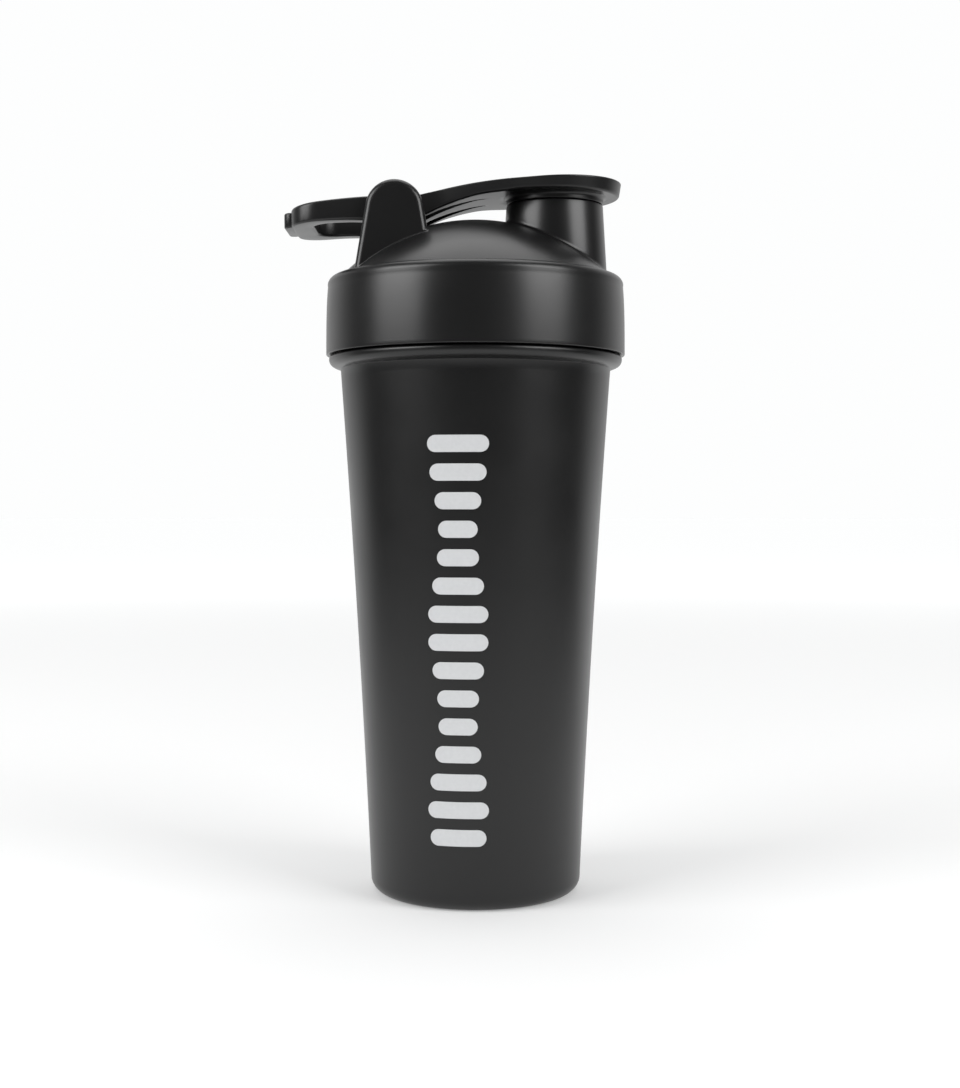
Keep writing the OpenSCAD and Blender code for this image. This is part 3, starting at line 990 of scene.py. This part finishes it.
def band_section(outer, inner):
    """A rounded rectangle between an outside and an inside point of the fork."""
    across = Vector(inner) - Vector(outer)
    width = across.length
    across.normalize()
    mid_top, mid_low = loop_heights((outer[0] + inner[0]) / 2)
    limit = (mid_top - mid_low) / 2 - 0.02
    high_r, low_r = max(min(LOOP_TOP_R, limit), 0.01), max(min(LOOP_LOW_R, limit), 0.01)
    ring = []
    corners = ((width - high_r, 1, 0), (width - low_r, -1, -90), (low_r, -1, -180), (high_r, 1, -270))
    for u, side, a in corners:
        r = high_r if side > 0 else low_r
        for i in range(6):
            t = math.radians(a + 90 - 90 * i / 5)
            du, dz = r * math.cos(t), r * math.sin(t)
            p = Vector(outer) + across * (u + du)
            top, low = loop_heights(p.x)
            top, low = max(top, low), min(top, low)
            edge = min(r, (top - low) / 2)
            z = top - edge + dz if side > 0 else low + edge + dz
            ring.append((p.x, p.y, z))
    return ring


def loop_band():
    """The fork as one skin, from one eye round its end to the other."""
    outside = fork(LOOP_END, LOOP_W, 9.0)
    inside = fork(LOOP_END + LOOP_BAND + 1, LOOP_W - LOOP_BAND, 6.5)
    half = [band_section(o, i) for o, i in zip(outside, inside)]
    other = [[(x, -y, z) for x, y, z in ring] for ring in reversed(half[1:])]
    return tube(other + half)


def thumb_tab():
    """The thin plate that stands out from the loop's end."""
    root = LOOP_END + 2
    plan = rounded([(TAB_X, -TAB_HALF, TAB_CORNER), (root, -TAB_HALF, 0.0),
                    (root, TAB_HALF, 0.0), (TAB_X, TAB_HALF, TAB_CORNER)], 10)
    rings = []
    centre_x = LOOP_END + 0.5
    for k in range(11):
        t = math.pi * k / 10
        below = k < 5
        inset = TAB_EDGE * (1 - math.sin(t))
        z = (TAB_LOW if below else TAB_HIGH - 2 * TAB_EDGE) + TAB_EDGE * (1 - math.cos(t))
        tilt = TAB_TILT if below else 0.0
        scale_x = 1 - inset / (root - 0.5 - TAB_X)
        scale_y = 1 - inset / TAB_HALF
        rings.append([(centre_x + (x - centre_x) * scale_x, y * scale_y, z + tilt * (x - LOOP_END))
                      for x, y in plan])
    return tube(rings)


def carry_loop():
    """The fork with its thumb tab, bored for the stub pins."""
    piece = make("loop_band", join(loop_band(), thumb_tab()), "carry_loop", CAP_PLASTIC,
                 ("carry_loop",))
    cut(piece, pin(STUB_R + BORE_GAP, LOOP_W + 2))


# ---------------------------------------------------------------- mixing ball

BALL_WIRE = 1.0
BALL_TURNS = 8
BALL_POLE = 13.0
BALL_TAPER = (0.55, 0.85, 0.97)


def mixing_ball():
    """A wire wound as a spiral on a sphere, from pole to pole, with rounded ends."""
    low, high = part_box("mixing_ball")
    centre = (low + high) / 2 / MM
    radius = (high.x - low.x) / 2 / MM - BALL_WIRE
    steps = 60 * BALL_TURNS
    path = []
    for i in range(steps + 1):
        polar = math.radians(BALL_POLE + (180 - 2 * BALL_POLE) * i / steps)
        turn = 2 * math.pi * BALL_TURNS * i / steps
        out = math.sin(polar)
        path.append(Vector((out * math.cos(turn), out * math.sin(turn), -math.cos(polar))))
    rings = []
    for i, p in enumerate(path):
        along = (path[min(i + 1, steps)] - path[max(i - 1, 0)]).normalized()
        across = along.cross(p).normalized()
        end = min(i, steps - i)
        size = BALL_WIRE * (BALL_TAPER[end] if end < len(BALL_TAPER) else 1.0)
        ring = []
        for k in range(14):
            t = 2 * math.pi * k / 14
            ring.append(tuple(centre + radius * p + size * (math.cos(t) * p + math.sin(t) * across)))
        rings.append(ring)
    make("wire_ball", tube(rings), "mixing_ball", STEEL, ("mixing_ball",))


# ---------------------------------------------------------------- studio

CAMERA_PLACE = (0.00145, -0.529, 0.1261)
CAMERA_DIP = 0.0258
CAMERA_LENS = 53.77
FLOOR_HALF = 12.0
AIM = Vector((0.0, 0.0, 0.17))


def combine(nodes, links, operation, a, b):
    """One value from two."""
    node = nodes.new("ShaderNodeMath")
    node.operation = operation
    links.new(a, node.inputs[0])
    links.new(b, node.inputs[1])
    return node.outputs["Value"]


def floor_material():
    """Pale paper all round to the eye; in reflections it is dim in front of the object, past the set."""
    material, nodes, links, shader = new_material("studio_floor")
    path = nodes.new("ShaderNodeLightPath")
    where = nodes.new("ShaderNodeTexCoord")
    split = nodes.new("ShaderNodeSeparateXYZ")
    length = nodes.new("ShaderNodeVectorMath")
    length.operation = "LENGTH"
    links.new(where.outputs["Object"], length.inputs[0])
    links.new(where.outputs["Object"], split.inputs["Vector"])
    distance = length.outputs["Value"]
    backward = combine(nodes, links, "DIVIDE", split.outputs["Y"], distance)
    behind = spread(nodes, links, backward, 0.15, 0.6, 0.0, 1.0)
    close = spread(nodes, links, distance, 0.22, 0.90, 1.0, 0.0)
    lit = combine(nodes, links, "MAXIMUM", behind, close)
    lit = combine(nodes, links, "MAXIMUM", lit, path.outputs["Is Camera Ray"])
    glow = spread(nodes, links, distance, 0.05, 1.85, 0.27, 0.81, "LINEAR")
    links.new(combine(nodes, links, "MULTIPLY", glow, lit), shader.inputs["Emission Strength"])
    links.new(tint(nodes, links, lit, (0.06, 0.06, 0.06), (0.66, 0.66, 0.66)), shader.inputs["Base Color"])
    shader.inputs["Roughness"].default_value = 0.9
    shader.inputs["Specular IOR Level"].default_value = 0.1
    shader.inputs["Emission Color"].default_value = (0.99, 1.0, 1.0, 1)
    return material


def floor():
    """A level sheet under the object."""
    corners = [(x * FLOOR_HALF, y * FLOOR_HALF, 0) for x, y in ((-1, -1), (1, -1), (1, 1), (-1, 1))]
    mesh = bpy.data.meshes.new("floor")
    mesh.from_pydata(corners, [], [(0, 1, 2, 3)])
    mesh.materials.append(floor_material())
    place("floor", mesh)


def softbox(name, azimuth, elevation, distance, size, radiance):
    """An area light aimed at the object; azimuth 0 is the camera's side, positive to its right."""
    a, e = math.radians(azimuth), math.radians(elevation)
    away = Vector((math.sin(a) * math.cos(e), -math.cos(a) * math.cos(e), math.sin(e)))
    light = bpy.data.lights.new(name, "AREA")
    light.shape = "RECTANGLE"
    light.size, light.size_y = size
    light.energy = radiance * math.pi * size[0] * size[1]
    lamp = place(name, light)
    lamp.location = AIM + away * distance
    lamp.rotation_euler = away.to_track_quat("Z", "Y").to_euler()
    lamp.visible_camera = False


def world():
    """White to the eye; for light and reflections, bright behind the object and dim in front."""
    scene = bpy.context.scene
    scene.world = bpy.data.worlds.new("studio")
    scene.world.use_nodes = True
    nodes, links = scene.world.node_tree.nodes, scene.world.node_tree.links
    nodes.clear()
    out = nodes.new("ShaderNodeOutputWorld")
    mix = nodes.new("ShaderNodeMixShader")
    path = nodes.new("ShaderNodeLightPath")
    where = nodes.new("ShaderNodeTexCoord")
    split = nodes.new("ShaderNodeSeparateXYZ")
    lit = nodes.new("ShaderNodeBackground")
    seen = nodes.new("ShaderNodeBackground")
    seen.inputs["Color"].default_value = (0.985, 0.99, 0.99, 1)
    links.new(where.outputs["Generated"], split.inputs["Vector"])
    links.new(spread(nodes, links, split.outputs["Y"], 0.15, 0.75, 0.10, 1.0), lit.inputs["Strength"])
    links.new(path.outputs["Is Camera Ray"], mix.inputs["Fac"])
    links.new(lit.outputs["Background"], mix.inputs[1])
    links.new(seen.outputs["Background"], mix.inputs[2])
    links.new(mix.outputs["Shader"], out.inputs["Surface"])


def camera():
    """The photograph's camera, looking slightly down along +Y."""
    data = bpy.data.cameras.new("camera")
    data.sensor_width = 36.0
    data.lens = CAMERA_LENS
    data.clip_start, data.clip_end = 0.01, 60.0
    cam = place("camera", data)
    cam.location = CAMERA_PLACE
    cam.rotation_euler = (math.pi / 2 - CAMERA_DIP, 0.0, 0.0)
    bpy.context.scene.camera = cam


def studio():
    """The floor, the world and three soft lights."""
    floor()
    world()
    softbox("left_box", -60, 26, 1.1, (0.74, 0.72), 5.6)
    softbox("right_box", 54, 26, 1.1, (0.66, 0.72), 5.6)
    softbox("top_box", 180, 80, 1.2, (1.1, 0.9), 2.0)
    bpy.context.scene.view_settings.view_transform = "Standard"


cup()
print_mark()
lid()
gasket()
flip_cap()
seal()
carry_loop()
mixing_ball()
camera()
studio()
